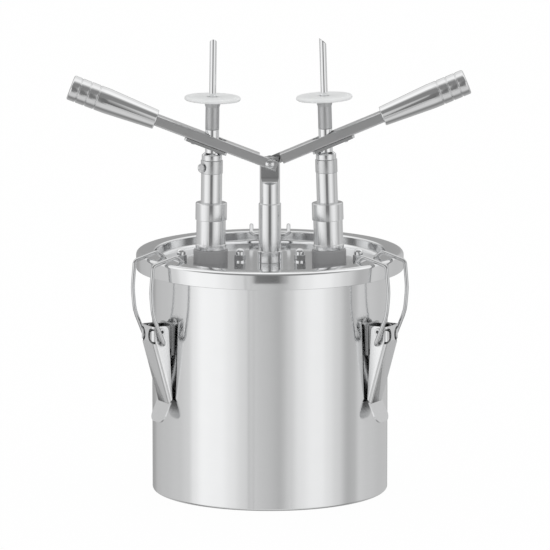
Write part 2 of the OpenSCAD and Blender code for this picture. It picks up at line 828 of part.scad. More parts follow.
module needle_nut(side) {
    bore_top = rod_spigot_l + needle_flange_h + run;
    color("darkgray") plunger_frame(side) translate([0, 0, rod_up]) difference() {
        lathe([[0, 0], [nut_d / 2 - chamfer, 0], [nut_d / 2, chamfer],
            [nut_d / 2, nut_l - nut_flare_drop - nut_flare_h], [nut_top_d / 2, nut_l - nut_flare_drop],
            [nut_top_d / 2, nut_l], [boss_r, nut_l], [boss_r, nut_l + boss_h], [0, nut_l + boss_h]]);
        translate([0, 0, -cut]) cylinder(r = spigot_r + run, h = bore_top + cut);
        cylinder(r = needle_d / 2 + run, h = nut_l + boss_h + cut);
    }
}

module needle(side) {
    foot = rod_up + rod_spigot_l;
    cutter = 4 * needle_d;
    // The right needle's tip is on its left, and the left needle's tip is at the front
    tip_angle = side == right ? 180 : 270;
    color("gainsboro") plunger_frame(side) difference() {
        union() {
            translate([0, 0, foot]) cylinder(r = spigot_r, h = needle_flange_h);
            translate([0, 0, foot]) cylinder(d = needle_d, h = needle_tip - foot);
        }
        translate([0, 0, foot - cut]) cylinder(d = needle_bore, h = needle_tip - foot + 2 * cut);
        rotate([0, 0, tip_angle]) translate([needle_d / 2, 0, needle_tip]) rotate([0, -needle_cut, 0])
            translate([-cutter, -cutter / 2, 0]) cube([2 * cutter, cutter, cutter]);
    }
}

module depth_disc(side) {
    lift = nut_top_d / 2 * sin(disc_tilt(side));
    edge_r = disc_t / 2;
    color("whitesmoke") plunger_frame(side) translate([0, 0, rod_up + nut_l + lift])
        rotate([0, -side * disc_tilt(side), 0]) rotate_extrude() {
            translate([disc_hole_d / 2, 0]) square([disc_d / 2 - edge_r - disc_hole_d / 2, disc_t]);
            translate([disc_d / 2 - edge_r, edge_r]) circle(edge_r);
        }
}

// Return springs, as one wire wound from the seat to the foot of the barrel

spring_rings = 8;
spring_sides = 6;

function spring_point(turn, around, height) =
    let (
        coil_wire_r = spring_wire_d / 2,
        from_axis = spring_d / 2 + coil_wire_r * cos(around),
        up = height * turn / spring_turns + coil_wire_r * sin(around))
    [from_axis * cos(turn * 360), from_axis * sin(turn * 360), up];

module return_spring(side) {
    from_z = spring_seat_t - spring_seat_drop + spring_wire_d / 2 + run;
    to_z = crown_h(side) - stop_ring_drop - barrel_l - spring_wire_d / 2 - run;
    count = spring_turns * spring_rings;
    points = [for (i = [0:count], k = [0:spring_sides - 1])
        spring_point(i / spring_rings, k * 360 / spring_sides, to_z - from_z)];
    walls = [for (i = [0:count - 1], k = [0:spring_sides - 1])
        let (a = i * spring_sides + k, b = i * spring_sides + (k + 1) % spring_sides)
        each [[a, b, b + spring_sides], [a, b + spring_sides, a + spring_sides]]];
    first_cap = [for (k = [1:spring_sides - 2]) [0, k + 1, k]];
    last = count * spring_sides;
    last_cap = [for (k = [1:spring_sides - 2]) [last, last + k, last + k + 1]];
    color("silver") pump_frame(side) translate([0, 0, from_z])
        polyhedron(points, concat(walls, first_cap, last_cap));
}

// Levers, in a frame that starts at the pivot and runs outward along the tube

module lever_frame(side) {
    translate([0, 0, pivot_z]) rotate([0, 0, side == left ? 180 : 0])
        rotate([0, -rest_angle(side), 0]) children();
}

// Long slot for the rod, cut square through the tube or the plate
module rod_slot(low, high) {
    translate([0, 0, low]) linear_extrude(high - low) {
        translate([slot_from + slot_r, -slot_r]) square([slot_to - slot_from - 2 * slot_r, 2 * slot_r]);
        for (u = [slot_from + slot_r, slot_to - slot_r]) translate([u, 0]) circle(slot_r);
    }
}

module lever(side) {
    color("dimgray") lever_frame(side) difference() {
        translate([-ear_reach, 0, 0]) rotate([0, 90, 0]) linear_extrude(ear_reach + grip_start)
            difference() {
                rounded_rect(bar_h, bar_w, bar_edge_r);
                rounded_rect(bar_h - 2 * bar_t, bar_w - 2 * bar_t, bar_edge_r - bar_t);
            }
        translate([-ear_reach - cut, -bar_w / 2 - cut, -bar_h])
            cube([ear_reach + cut + bar_start, bar_w + cut - bar_t, 2 * bar_h]);
        translate([0, bar_w, 0]) rotate([90, 0, 0]) cylinder(r = pivot_r + run, h = bar_w);
        rod_slot(-bar_h, bar_h);
        translate([rivet_at, 0, -bar_h]) cylinder(r = rivet_r + run, h = bar_h);
    }
}

module wear_plate(side) {
    color("silver") lever_frame(side) difference() {
        translate([plate_start + plate_l / 2, 0, -plate_under]) linear_extrude(plate_t)
            rounded_rect(plate_l, bar_w, plate_corner_r);
        rod_slot(-plate_under - cut, cut - bar_h / 2);
        translate([rivet_at, 0, -plate_under - cut]) cylinder(r = rivet_r + run, h = plate_t + 2 * cut);
    }
}

module plate_rivet(side) {
    grip_t = plate_t + bar_t + run;
    color("gainsboro") lever_frame(side) translate([rivet_at, 0, -plate_under]) {
        mirror([0, 0, 1]) dome(rivet_head_r, rivet_head_h);
        cylinder(r = rivet_r, h = grip_t + rivet_inner_h);
        translate([0, 0, grip_t]) cylinder(r = rivet_inner_r, h = rivet_inner_h);
    }
}

// Radius of the grip at a distance from its outer end
function grip_r(from_end) =
    (grip_big_d - (grip_big_d - grip_small_d) * max(0, from_end - grip_l + grip_taper_l) / grip_taper_l) / 2;

module grip(side) {
    half_w = groove_w / 2;
    slope_w = groove_w / 4;
    grooves = [for (place = groove_places) each [
        [grip_r(place - half_w), place - half_w], [grip_r(place) - groove_depth, place - half_w + slope_w],
        [grip_r(place) - groove_depth, place + half_w - slope_w],
        [grip_r(place + half_w), place + half_w]]];
    spigot = bar_h / 2 - bar_t - spigot_gap;
    color("gainsboro") lever_frame(side) translate([grip_start + grip_l, 0, 0]) rotate([0, -90, 0])
        lathe(concat([[0, 0], [grip_r(0) - grip_edge, 0], [grip_r(grip_edge), grip_edge]], grooves,
            [[grip_r(0), grip_l - grip_taper_l],
            [grip_r(grip_l - chamfer), grip_l - chamfer], [grip_r(grip_l) - chamfer, grip_l],
            [spigot, grip_l], [spigot, grip_l + spigot_l], [0, grip_l + spigot_l]]));
}

// Latches, in a frame whose X points outward at the latch and whose Y runs along the wall

module latch_frame(angle) {
    rotate([0, 0, angle]) children();
}

// Pin-shaped cutter or pin across the latch
module across(radius, half_length) {
    translate([0, half_length, 0]) rotate([90, 0, 0]) cylinder(r = radius, h = 2 * half_length);
}

module latch_bracket() {
    bracket_in = container_r + run;
    bracket_out = bracket_in + bracket_t;
    root = container_r + bracket_t / 2;
    ear_out = ear_in + bracket_t;
    difference() {
        union() {
            intersection() {
                translate([0, 0, hinge_z - bracket_down])
                    tube(bracket_out, bracket_in, bracket_up + bracket_down, $fn = 128);
                translate([0, -bracket_half_w, 0]) cube([bracket_out, 2 * bracket_half_w, rim_z]);
            }
            for (y = [-ear_out, ear_in]) translate([0, y + bracket_t, hinge_z]) rotate([90, 0, 0]) {
                translate([hinge_r, 0, 0]) cylinder(r = ear_r, h = bracket_t);
                linear_extrude(bracket_t)
                    polygon([[root, ear_r], [hinge_r, ear_r], [hinge_r, -ear_r], [root, -ear_root_drop]]);
            }
        }
        translate([hinge_r, 0, hinge_z]) across(latch_pin_r + run, bracket_half_w + cut);
    }
}

module latch_brackets() {
    color("silver") for (angle = latch_angles) latch_frame(angle) latch_bracket();
}

module latch_pin() {
    half_l = latch_w / 2 + run;
    translate([hinge_r, 0, hinge_z]) difference() {
        union() {
            across(latch_pin_r, half_l + latch_pin_head_t);
            for (y = [-1, 1]) translate([0, y * (half_l + latch_pin_head_t / 2), 0])
                across(latch_pin_head_r, latch_pin_head_t / 2);
        }
        across(latch_pin_bore, half_l + latch_pin_head_t + cut);
    }
}

module latch_pins() {
    color("silver") for (angle = latch_angles) latch_frame(angle) latch_pin();
}

// Section of the bent latch sheet, with its outer face on x = 0
module channel_section(width, depth, corner_r) {
    translate([-depth, -width / 2]) square([depth - corner_r, width]);
    translate([-depth, corner_r - width / 2]) square([depth, width - 2 * corner_r]);
    for (y = [-1, 1]) translate([-corner_r, y * (width / 2 - corner_r)]) circle(corner_r);
}

// Solid that fills the bent channel's outline: the upright part's outline and the sloping part's in one
module bent_block(width, inset, corner_r) {
    length = 2 * (face_up + tab_drop);
    intersection() {
        translate([face_r - inset, 0, latch_bend_z - length / 2]) linear_extrude(length)
            channel_section(width, face_out, corner_r);
        translate([face_r, 0, latch_bend_z]) rotate([0, face_slope, 0])
            translate([-inset, 0, -length / 2]) linear_extrude(length)
                channel_section(width, face_out, corner_r);
    }
}

// Side view of the latch lever's channel, as distance from the axis and height
module latch_side_view() {
    back_top = container_r + side_back_top;
    corner_z = hinge_z + side_back_up;
    top_z = hinge_z + face_up;
    polygon([[container_r + side_back_low, hinge_z - side_back_drop], [back_top, corner_z],
        [back_top + side_corner_r, top_z], [face_r + cut, top_z], [face_r + cut, latch_bend_z],
        [tab_r + cut, tab_z - cut]]);
    translate([back_top + side_corner_r, top_z - side_corner_r]) circle(side_corner_r);
}

module tab_outline() {
    translate([-latch_w / 2, tab_corner_r - tab_l]) square([latch_w, tab_l - tab_corner_r + tab_lap]);
    translate([tab_corner_r - latch_w / 2, -tab_l]) square([latch_w - 2 * tab_corner_r, tab_l]);
    for (x = [-1, 1])
        translate([x * (latch_w / 2 - tab_corner_r), tab_corner_r - tab_l]) circle(tab_corner_r);
}

// Curved relief slot beside each bend, open towards the edge
module relief_slot(side) {
    middle_z = hinge_z - relief_drop;
    intersection() {
        translate([face_r - latch_edge_r, side * (latch_w / 2 - latch_edge_r), middle_z])
            rotate([0, 90, side * 45]) tube(relief_r, relief_r - relief_w, latch_w / 2);
        translate([face_r - latch_edge_r, side > 0 ? 0 : relief_tip_gap - latch_w / 2, middle_z - relief_r])
            cube([latch_w, latch_w / 2 - relief_tip_gap, 2 * relief_r]);
    }
}

module latch_lever(angle) {
    color("gainsboro") latch_frame(angle) difference() {
        union() {
            difference() {
                intersection() {
                    bent_block(latch_w, 0, latch_edge_r);
                    translate([0, latch_w, 0]) rotate([90, 0, 0]) linear_extrude(2 * latch_w)
                        latch_side_view();
                }
                bent_block(latch_w - 2 * latch_t, latch_t, latch_edge_r - latch_t);
            }
            translate([tab_r, 0, tab_z]) rotate([0, -tab_angle, 0]) rotate([90, 0, 90])
                translate([0, 0, -latch_t]) linear_extrude(latch_t) tab_outline();
        }
        translate([hinge_r, 0, hinge_z]) across(latch_pin_r + run, latch_w);
        translate([hinge_r, 0, hinge_z - bail_drop]) across(wire_r + run, latch_w);
        for (side = [-1, 1]) relief_slot(side);
    }
}

// Bails of bent wire, each leg built piece by piece from the end of the crossbar

// Bend of the wire, a hair thinner and lapped into the straights at both ends so that they fuse
module wire_elbow(bend_r, angle) {
    lap_angle = bend_lap / bend_r * 180 / PI;
    translate([bend_r, 0, 0]) rotate([90, 0, 180]) rotate([0, 0, -lap_angle])
        rotate_extrude(angle = angle + 2 * lap_angle) translate([bend_r, 0]) circle(wire_r - bend_thinning);
}

// Each step is a roll about the wire, a bend angle, a bend radius and the straight that follows
module wire_path(steps, i = 0) {
    step = steps[i];
    rotate([0, 0, step[0]]) {
        wire_elbow(step[2], step[1]);
        translate([step[2], 0, 0]) rotate([0, step[1], 0]) translate([-step[2], 0, 0]) {
            cylinder(r = wire_r, h = step[3]);
            if (i < len(steps) - 1) translate([0, 0, step[3]]) wire_path(steps, i + 1);
        }
    }
}

function along(i) = [bail_route[i + 1][0] - bail_route[i][0], bail_route[i + 1][1] - bail_route[i][1]];
function heading(i) = atan2(along(i)[1], along(i)[0]);
function leg(i) = norm(along(i));
function turn_at(i) = heading(i - 1) - heading(i);
function take(i) = bail_route[i][2] * tan(turn_at(i) / 2);

crossbar_half = bail_w / 2 - crossbar_bend_r;
bail_steps = [
    [0, 90, crossbar_bend_r, leg(0) - crossbar_bend_r - take(1)],
    [90, turn_at(1), bail_route[1][2], leg(1) - take(1) - take(2)],
    [0, turn_at(2), bail_route[2][2], leg(2) - take(2) - take(3)],
    [0, turn_at(3), bail_route[3][2], leg(3) - take(3) - take(4)],
    [0, turn_at(4), bail_route[4][2], leg(4) - take(4) - pin_bend_r],
    [-90, 90, pin_bend_r, bail_w / 2 - pin_bend_r - bail_pin_in]];

module bail(angle) {
    color("gainsboro") latch_frame(angle) {
        translate([bail_route[0][0], 0, bail_route[0][1]]) across(wire_r, crossbar_half);
        for (half = [0, 1]) mirror([0, half, 0])
            translate([bail_route[0][0], crossbar_half, bail_route[0][1]]) rotate([0, -heading(0), 0])
                rotate([-90, 0, 0]) wire_path(bail_steps);
    }
}

container();
lid();
lid_gasket();
centre_post();
post_nut();
pivot_pin();
pivot_washers();
cap_nuts();
cap_washers();
pump_flanges();
flange_gaskets();
spring_seats();
valve_seats();
ball_stop_pins();
base_ring(left);  // left_base_ring
base_ring(right);  // right_base_ring
pump_cylinder(left);  // left_pump_cylinder
pump_cylinder(right);  // right_pump_cylinder
guide_collar(left);  // left_guide_collar
guide_collar(right);  // right_guide_collar
barrel(left);  // left_barrel
barrel(right);  // right_barrel
dose_ring(left);  // left_dose_ring
dose_ring(right);  // right_dose_ring
thumb_screw(left);  // left_thumb_screw
thumb_screw(right);  // right_thumb_screw
domed_cap(left);  // left_domed_cap
domed_cap(right);  // right_domed_cap
piston_rod(left);  // left_piston_rod
piston_rod(right);  // right_piston_rod
piston(left);  // left_piston
piston(right);  // right_piston
piston_seal(left);  // left_piston_seal
piston_seal(right);  // right_piston_seal
return_spring(left);  // left_return_spring
return_spring(right);  // right_return_spring
valve_ball(left);  // left_valve_ball
valve_ball(right);  // right_valve_ball
needle_nut(left);  // left_needle_nut
needle_nut(right);  // right_needle_nut
needle(left);  // left_needle
needle(right);  // right_needle
depth_disc(left);  // left_depth_disc
depth_disc(right);  // right_depth_disc
lever(left);  // left_lever
lever(right);  // right_lever
grip(left);  // left_grip
grip(right);  // right_grip
wear_plate(left);  // left_wear_plate
wear_plate(right);  // right_wear_plate
plate_rivet(left);  // left_plate_rivet
plate_rivet(right);  // right_plate_rivet
latch_brackets();
latch_pins();
latch_lever(latch_angles[0]);  // front_left_latch
latch_lever(latch_angles[1]);  // front_right_latch
latch_lever(latch_angles[2]);  // rear_latch
bail(latch_angles[0]);  // front_left_bail
bail(latch_angles[1]);  // front_right_bail
bail(latch_angles[2]);  // rear_bail
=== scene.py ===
import json
import math

import bmesh
import bpy
from mathutils import Matrix, Vector


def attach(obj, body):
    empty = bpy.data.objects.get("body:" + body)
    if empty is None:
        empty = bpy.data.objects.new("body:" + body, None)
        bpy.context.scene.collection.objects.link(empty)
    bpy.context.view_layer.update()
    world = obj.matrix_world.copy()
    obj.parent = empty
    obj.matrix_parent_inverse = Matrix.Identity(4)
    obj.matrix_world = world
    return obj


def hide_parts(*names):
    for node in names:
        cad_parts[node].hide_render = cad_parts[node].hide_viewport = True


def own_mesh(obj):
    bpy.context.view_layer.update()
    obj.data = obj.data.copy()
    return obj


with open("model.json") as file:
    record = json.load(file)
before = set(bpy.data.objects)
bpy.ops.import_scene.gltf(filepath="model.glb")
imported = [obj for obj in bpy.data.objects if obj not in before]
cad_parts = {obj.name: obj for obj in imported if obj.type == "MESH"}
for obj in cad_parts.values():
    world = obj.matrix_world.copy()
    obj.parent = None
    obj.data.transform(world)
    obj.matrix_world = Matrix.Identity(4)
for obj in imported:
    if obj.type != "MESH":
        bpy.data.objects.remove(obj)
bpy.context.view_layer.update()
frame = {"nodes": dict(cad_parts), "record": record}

nodes = frame["nodes"]
slot_of = {part["node"]: part["material_slot"] for part in frame["record"]["subparts"]}
MM = 0.001
sides = {"left": -1, "right": 1}


# Node helpers for the materials and the studio

class Nodes:
    """A node tree with short calls for the nodes used here."""

    def __init__(self, tree):
        self.tree = tree

    def add(self, kind, **inputs):
        node = self.tree.nodes.new(kind)
        for key, value in inputs.items():
            self.put(node, key.replace("_", " "), value)
        return node

    def put(self, node, key, value):
        """Sets a node's input to a value, or joins another node's output to it."""
        socket = node.inputs[key]
        if isinstance(value, bpy.types.NodeSocket):
            self.tree.links.new(value, socket)
        else:
            socket.default_value = value

    def calc(self, operation, a, b):
        made = self.add("ShaderNodeMath")
        made.operation = operation
        self.put(made, 0, a)
        self.put(made, 1, b)
        return made.outputs[0]

    def span(self, value, low, high, from_low=0.0, from_high=1.0, easing="LINEAR"):
        """value moved from one range to another."""
        made = self.add("ShaderNodeMapRange", Value=value, From_Min=from_low, From_Max=from_high,
                        To_Min=low, To_Max=high)
        made.interpolation_type = easing
        return made.outputs["Result"]

    def mixed_light(self, share, first, second):
        made = self.add("ShaderNodeMixShader")
        for index, value in enumerate((share, first, second)):
            self.put(made, index, value)
        return made.outputs[0]


class Shader(Nodes):
    """The nodes of a new material."""

    def __init__(self, name):
        self.material = bpy.data.materials.new(name)
        self.material.use_nodes = True
        super().__init__(self.material.node_tree)
        self.bsdf = self.tree.nodes["Principled BSDF"]

    def coords(self, scale, turned_by=(0, 0, 0)):
        """The piece's own coordinates, turned and then stretched."""
        place = self.add("ShaderNodeTexCoord")
        turned = self.add("ShaderNodeMapping", Vector=place.outputs["Object"], Rotation=turned_by)
        stretched = self.add("ShaderNodeMapping", Vector=turned.outputs["Vector"], Scale=scale)
        return stretched.outputs["Vector"]

    def height(self):
        """Height in the piece's own coordinates, in metres."""
        place = self.add("ShaderNodeTexCoord")
        return self.add("ShaderNodeSeparateXYZ", Vector=place.outputs["Object"]).outputs["Z"]

    def noise(self, vector, scale, detail, roughness=0.55):
        made = self.add("ShaderNodeTexNoise", Vector=vector, Scale=scale, Detail=detail,
                        Roughness=roughness)
        return made.outputs["Fac"]

    def mixed(self, factor, a, b):
        """Colour between a and b, each an output or three numbers."""
        made = self.add("ShaderNodeMix")
        made.data_type = "RGBA"
        self.put(made, "Factor", factor)
        for key, colour in ((6, a), (7, b)):
            given = isinstance(colour, bpy.types.NodeSocket)
            self.put(made, key, colour if given else (*colour, 1.0))
        return made.outputs[2]

    def bump(self, height, strength, distance):
        made = self.add("ShaderNodeBump", Height=height, Strength=strength, Distance=distance)
        self.put(self.bsdf, "Normal", made.outputs["Normal"])

    def spin(self, amount):
        """Spreads the reflections along the piece's own Z axis, as marks round it do."""
        tangent = self.add("ShaderNodeTangent")
        tangent.direction_type = "RADIAL"
        tangent.axis = "Z"
        quarter_turn = 0.25
        self.put(self.bsdf, "Tangent", tangent.outputs["Tangent"])
        self.put(self.bsdf, "Anisotropic", amount)
        self.put(self.bsdf, "Anisotropic Rotation", quarter_turn)

    def show(self, light):
        """Shows other light than the Principled BSDF's."""
        self.put(self.tree.nodes["Material Output"], "Surface", light)

    def finish(self, **values):
        for key, value in values.items():
            self.put(self.bsdf, key.replace("_", " "), value)
        return self.material


# Materials: noise is stretched along the direction of the marks that the tools leave

even = (1, 1, 1)
fine_marks = (900, 900, 900)
pressed_marks = (500, 500, 60)
turned_marks = (14, 14, 5200)
spun_marks = (6, 6, 2600)
drawn_marks = (40, 3800, 3800)
mark_depth = 0.06 * MM


def toned(colour, factor):
    return [min(1.0, part * factor) for part in colour]


def polished_steel(name, colour, low=0.05, high=0.11, wave=0.03):
    """Buffed stainless steel, with faint smears and a slight waviness."""
    s = Shader(name)
    smears = s.noise(s.coords(even), scale=38.0, detail=5.0)
    tone = s.mixed(smears, toned(colour, 0.975), colour)
    waves = s.noise(s.coords((1, 1, 0.6)), scale=16.0, detail=1.0)
    s.bump(waves, strength=wave, distance=0.5 * MM)
    return s.finish(Base_Color=tone, Metallic=1.0, Roughness=s.span(smears, low, high))


def brushed_steel(name, colour, scale, turned_by=(0, 0, 0), low=0.2, high=0.34, depth=0.22,
                  contrast=0.08, spun=0.0):
    """Steel with fine drawn or turned marks along the direction that the scale stretches.

    low and high are the range of its roughness. spun is how far the marks round the piece's own
    axis spread the reflections along it.
    """
    s = Shader(name)
    marks = s.noise(s.coords(scale, turned_by), scale=1.0, detail=3.0, roughness=0.7)
    cloud = s.noise(s.coords(even), scale=60.0, detail=3.0)
    tone = s.mixed(marks, toned(colour, 1 - contrast), toned(colour, 1 + contrast))
    s.bump(marks, strength=depth, distance=mark_depth)
    if spun:
        s.spin(spun)
    rough = s.calc("ADD", s.span(marks, low, high), s.span(cloud, -0.02, 0.02))
    return s.finish(Base_Color=tone, Metallic=1.0, Roughness=rough)


def pressed_steel(name, colour, painted_shade_colour, reach):
    """Pressed sheet with painted shade: its colour goes dark in folds and inner sides, within reach of
    other metal.
    """
    s = Shader(name)
    marks = s.noise(s.coords(pressed_marks), scale=1.0, detail=3.0, roughness=0.7)
    # Painted shade: ambient occlusion pulls the base colour towards the shade colour where other metal is
    # near
    openness = s.add("ShaderNodeAmbientOcclusion", Distance=reach)
    openness.samples = 8
    unshaded_share = s.span(openness.outputs["AO"], 0.0, 1.0, from_low=0.3, from_high=0.85)
    s.bump(marks, strength=0.06, distance=mark_depth)
    return s.finish(Base_Color=s.mixed(unshaded_share, painted_shade_colour, colour), Metallic=1.0,
                    Roughness=s.span(marks, 0.16, 0.26))


def grip_steel(name, colour, blasted_to):
    """Polished metal whose grooved outer end is blasted to a duller, darker finish."""
    s = Shader(name)
    marks = s.noise(s.coords(turned_marks), scale=1.0, detail=3.0, roughness=0.7)
    pores = s.noise(s.coords(even), scale=1400.0, detail=2.0)
    half_edge = 1.5 * MM
    zone = s.span(s.height(), 1.0, 0.0, blasted_to - half_edge, blasted_to + half_edge)
    tone = s.mixed(zone, colour, toned(colour, 0.96))
    grain = s.calc("ADD", s.span(marks, 0.0, 0.35), s.span(pores, 0.0, 0.4))
    s.bump(grain, strength=0.1, distance=0.05 * MM)
    rough = s.calc("ADD", s.span(marks, 0.06, 0.1), s.span(zone, 0.0, 0.1))
    return s.finish(Base_Color=tone, Metallic=1.0, Roughness=rough)


def moulded_plastic(name, colour, rough, **values):
    """Plastic with fine pores and a faint cloud in its tone and gloss."""
    s = Shader(name)
    pores = s.noise(s.coords(even), scale=900.0, detail=2.0)
    cloud = s.noise(s.coords(even), scale=45.0, detail=3.0)
    tone = s.mixed(cloud, toned(colour, 0.93), toned(colour, 1.05))
    s.bump(pores, strength=0.12, distance=0.08 * MM)
    return s.finish(Base_Color=tone, Roughness=s.span(cloud, rough - 0.05, rough + 0.06), **values)


steel_white = (0.86, 0.865, 0.87)
steel_plain = (0.74, 0.745, 0.75)
steel_dark = (0.56, 0.565, 0.57)
steel_turned = (0.8, 0.805, 0.81)
steel_ring = (0.7, 0.705, 0.71)
steel_lever = (0.72, 0.723, 0.726)
steel_bail = (0.68, 0.685, 0.69)
steel_grip = (0.84, 0.843, 0.846)
# Painted shade colours for the latches' and brackets' folds and inner sides, and in millimetres how near
# other metal must be for it
latch_painted_shade, bracket_painted_shade = (0.16, 0.16, 0.16), (0.12, 0.12, 0.12)
latch_shade_reach, bracket_shade_reach, blasted_l = 10, 16, 34

materials = {
    "polished_steel": polished_steel("polished_steel", steel_white),
    "satin_steel": brushed_steel("satin_steel", steel_plain, fine_marks, low=0.2, high=0.3, depth=0.1),
    "spring_steel": brushed_steel("spring_steel", steel_dark, fine_marks),
    "food_seal": moulded_plastic("food_seal", (0.72, 0.72, 0.7), rough=0.55),
    "grey_plastic": moulded_plastic("grey_plastic", (0.33, 0.33, 0.335), rough=0.5),
    "white_plastic": moulded_plastic("white_plastic", (0.93, 0.94, 0.94), rough=0.35,
                                     Transmission_Weight=0.15),
}
container_steel = brushed_steel("container_steel", steel_white, spun_marks, low=0.11, high=0.16,
                                depth=0.04, contrast=0.03, spun=0.8)
lid_steel = polished_steel("lid_steel", steel_white, low=0.07, high=0.12, wave=0.02)
turned_steel = brushed_steel("turned_steel", steel_turned, turned_marks, low=0.11, high=0.15,
                             depth=0.05, contrast=0.05, spun=0.9)
nut_steel = brushed_steel("nut_steel", steel_dark, turned_marks, low=0.34, high=0.46, depth=0.14)
ring_steel = brushed_steel("ring_steel", steel_ring, turned_marks, low=0.2, high=0.3, depth=0.2)
# The latches and their brackets carry painted shade in their folds and inner sides
latch_steel = pressed_steel("latch_steel", steel_white, latch_painted_shade, latch_shade_reach * MM)
bracket_steel = pressed_steel("bracket_steel", steel_plain, bracket_painted_shade, bracket_shade_reach * MM)
bail_steel = polished_steel("bail_steel", steel_bail, low=0.06, high=0.12)
handle_steel = grip_steel("handle_steel", steel_grip, blasted_l * MM)


def dress(piece, material):
    piece.data.materials.clear()
    piece.data.materials.append(material)


for name, piece in nodes.items():
    dress(piece, materials[slot_of[name]])
for name in ("cap_nuts", "cap_washers"):
    dress(nodes[name], lid_steel)


# Helpers for shapes: turned pieces, bent wire and carving

def rounded_path(corners, closed=False, step=15.0):
    """Corners, each with a bend radius in its last place, as points with the bends drawn as arcs."""
    points = []
    count = len(corners)
    most_of_leg = 0.49
    for i, corner in enumerate(corners):
        here, radius = Vector(corner[:-1]), corner[-1]
        if radius <= 0 or (not closed and i in (0, count - 1)):
            points.append(here)
            continue
        back = Vector(corners[i - 1][:-1]) - here
        ahead = Vector(corners[(i + 1) % count][:-1]) - here
        angle = back.angle(ahead)
        reach = min(radius / math.tan(angle / 2), most_of_leg * back.length, most_of_leg * ahead.length)
        radius = reach * math.tan(angle / 2)
        back.normalize()
        ahead.normalize()
        centre = here + (back + ahead).normalized() * radius / math.sin(angle / 2)
        first, last = here + back * reach - centre, here + ahead * reach - centre
        sweep = math.pi - angle
        steps = max(2, round(math.degrees(sweep) / step))
        for k in range(steps + 1):
            share = k / steps
            arm = first * math.sin((1 - share) * sweep) + last * math.sin(share * sweep)
            points.append(centre + arm / math.sin(sweep))
    return points


def as_object(bm, name, place=None, sharp=30.0):
    """A bmesh as a smooth-shaded object whose edges stay sharp past an angle."""
    bmesh.ops.recalc_face_normals(bm, faces=bm.faces)
    for face in bm.faces:
        face.smooth = True
    for edge in bm.edges:
        edge.smooth = len(edge.link_faces) == 2 and edge.calc_face_angle(0.0) < math.radians(sharp)
    mesh = bpy.data.meshes.new(name)
    bm.to_mesh(mesh)
    bm.free()
    piece = bpy.data.objects.new(name, mesh)
    bpy.context.scene.collection.objects.link(piece)
    if place is not None:
        piece.matrix_world = place
    return piece


def lathe(name, corners, place=None, segments=96, wave=None):
    """A turned piece from its profile's corners, each (radius, height, fillet) in millimetres.

    A point on the axis is one vertex. wave, from a vertex's number round the piece and its radius,
    moves the vertex out.
    """
    bm = bmesh.new()
    rings = []
    on_axis = 0.001
    for radius, height in rounded_path(corners, closed=True):
        if radius < on_axis:
            rings.append([bm.verts.new((0, 0, height * MM))])
            continue
        ring = []
        for k in range(segments):
            angle = 2 * math.pi * k / segments
            r = (radius + (wave(k, radius) if wave else 0)) * MM
            ring.append(bm.verts.new((r * math.cos(angle), r * math.sin(angle), height * MM)))
        rings.append(ring)
    for lower, upper in zip(rings, rings[1:] + rings[:1]):
        for k in range(segments if max(len(lower), len(upper)) > 1 else 0):
            corner_verts = [lower[k % len(lower)], lower[(k + 1) % len(lower)],
                            upper[(k + 1) % len(upper)], upper[k % len(upper)]]
            bm.faces.new(list(dict.fromkeys(corner_verts)))
    return as_object(bm, name, place)


def wire(name, corners, radius, place=None, facets=20):
    """A bent wire with flat, slightly rounded ends, from its corners in millimetres."""
    points = rounded_path(corners, step=7.5)
    bm = bmesh.new()
    forward = (points[1] - points[0]).normalized()
    backward = (points[-1] - points[-2]).normalized()
    across = forward.orthogonal().normalized()
    edge = 0.2 * radius
    stations = [(points[0], forward, radius - edge), (points[0] + forward * edge, forward, radius)]
    for before, here, after in zip(points, points[1:], points[2:]):
        along = ((here - before).normalized() + (after - here).normalized()).normalized()
        stations.append((here, along, radius))
    stations += [(points[-1] - backward * edge, backward, radius), (points[-1], backward, radius - edge)]
    rings = []
    for point, direction, size in stations:
        across = (across - direction * across.dot(direction)).normalized()
        other = direction.cross(across)
        ring = []
        for k in range(facets):
            angle = 2 * math.pi * k / facets
            arm = size * (math.cos(angle) * across + math.sin(angle) * other)
            ring.append(bm.verts.new((point + arm) * MM))
        rings.append(ring)
    for first, second in zip(rings, rings[1:]):
        for k in range(facets):
            bm.faces.new([first[k], first[(k + 1) % facets], second[(k + 1) % facets], second[k]])
    bm.faces.new(rings[0])
    bm.faces.new(rings[-1])
    return as_object(bm, name, place)


def block(size, place):
    """Box cutter with its middle at the place."""
    bm = bmesh.new()
    bmesh.ops.create_cube(bm, size=1.0)
    bmesh.ops.scale(bm, vec=[length * MM for length in size], verts=bm.verts)
    return as_object(bm, "cutter", place)


def round_bar(radius, length, place):
    """Round cutter along its own Z axis, with its middle at the place."""
    return lathe("cutter", [(0, -length / 2, 0), (radius, -length / 2, 0), (radius, length / 2, 0),
                            (0, length / 2, 0)], place, segments=64)


def carve(piece, cutters, sharp=30.0):
    """Takes the cutters out of a piece for good."""
    for cutter in cutters:
        step = piece.modifiers.new("carve", "BOOLEAN")
        step.object = cutter
        step.solver = "EXACT"
    bpy.context.view_layer.update()
    carved = bpy.data.meshes.new_from_object(piece.evaluated_get(bpy.context.evaluated_depsgraph_get()))
    piece.modifiers.clear()
    piece.data = carved
    carved.polygons.foreach_set("use_smooth", [True] * len(carved.polygons))
    carved.set_sharp_from_angle(angle=math.radians(sharp))
    for cutter in cutters:
        bpy.data.objects.remove(cutter)
    return piece


def shift(x, y, z):
    return Matrix.Translation((x * MM, y * MM, z * MM))


def turn(degrees, axis):
    return Matrix.Rotation(math.radians(degrees), 4, axis)


def stand_for(piece, node, body, material):
    """A new piece that takes a CAD node's place on its body."""
    dress(piece, material)
    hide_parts(node)
    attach(piece, body)
    return piece


def turned_for(node, profile, place, body, material, made="turned", segments=96, wave=None):
    """A piece turned from its profile, in a CAD node's place."""
    piece = lathe(f"{node}_{made}", profile, place, segments, wave)
    return stand_for(piece, node, body, material)


# Container and lid, spun from sheet

